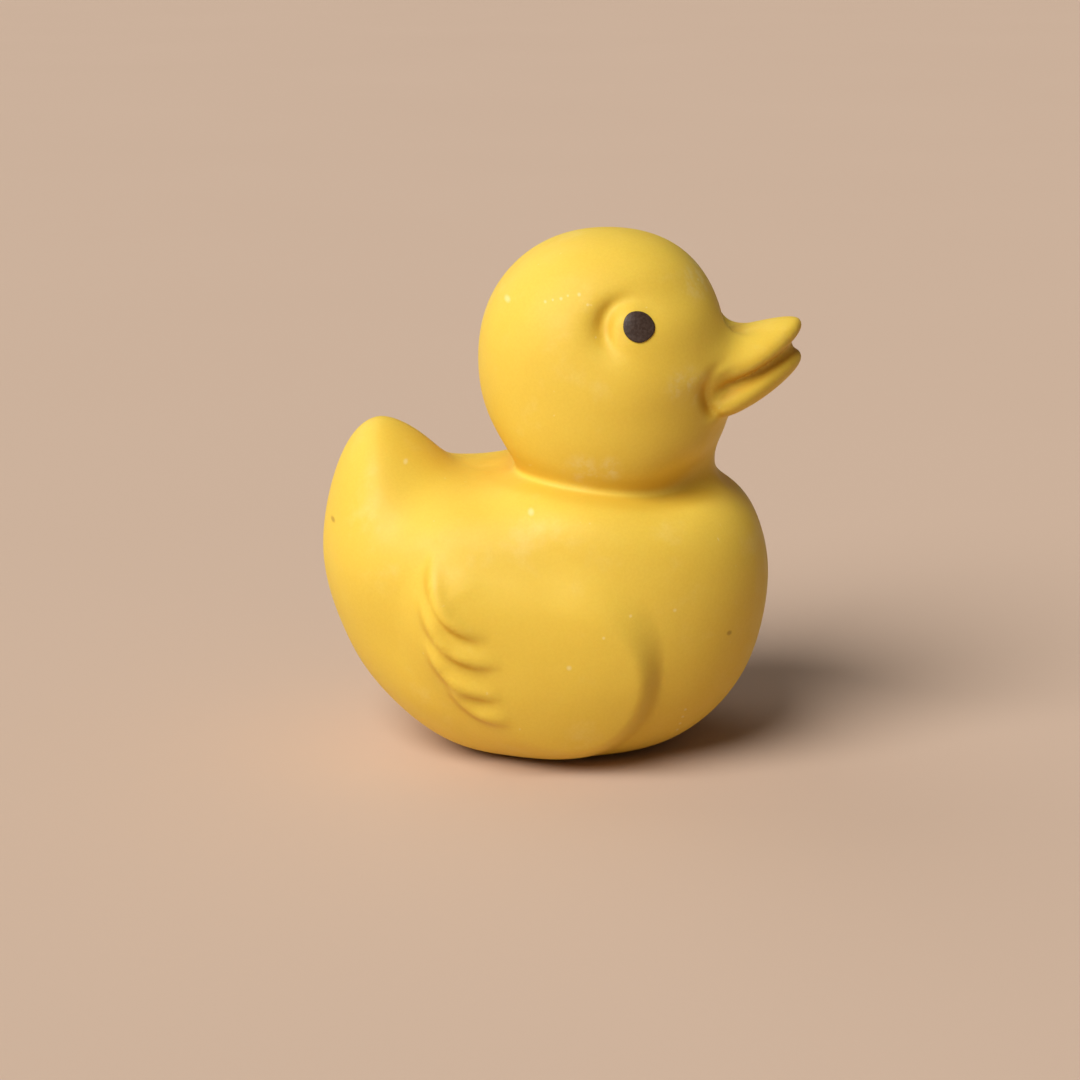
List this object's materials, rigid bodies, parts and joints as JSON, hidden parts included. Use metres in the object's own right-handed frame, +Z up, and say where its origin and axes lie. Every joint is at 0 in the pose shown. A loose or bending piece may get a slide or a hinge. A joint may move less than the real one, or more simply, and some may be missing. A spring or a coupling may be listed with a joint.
{
  "type": "rubber duck",
  "caption": "Hollow moulded bath duck with an upturned tail, relief wings, an open bill and painted eyes; stands on a small flat base with an air hole.",
  "frame": {"origin": "on the flat base, in the duck's middle plane, beside the air hole", "axes": "+X forwards along the bill, +Y to the duck's left, +Z up"},
  "size_m": [0.067, 0.0488, 0.0729],
  "materials": {
    "yellow_rubber": "satin, slightly waxy moulded rubber",
    "eye_paint": "dark brown paint film"
  },
  "bodies": {
    "root": {"duck_body": "yellow_rubber", "eye_left": "eye_paint", "eye_right": "eye_paint"}
  },
  "joints": []
}
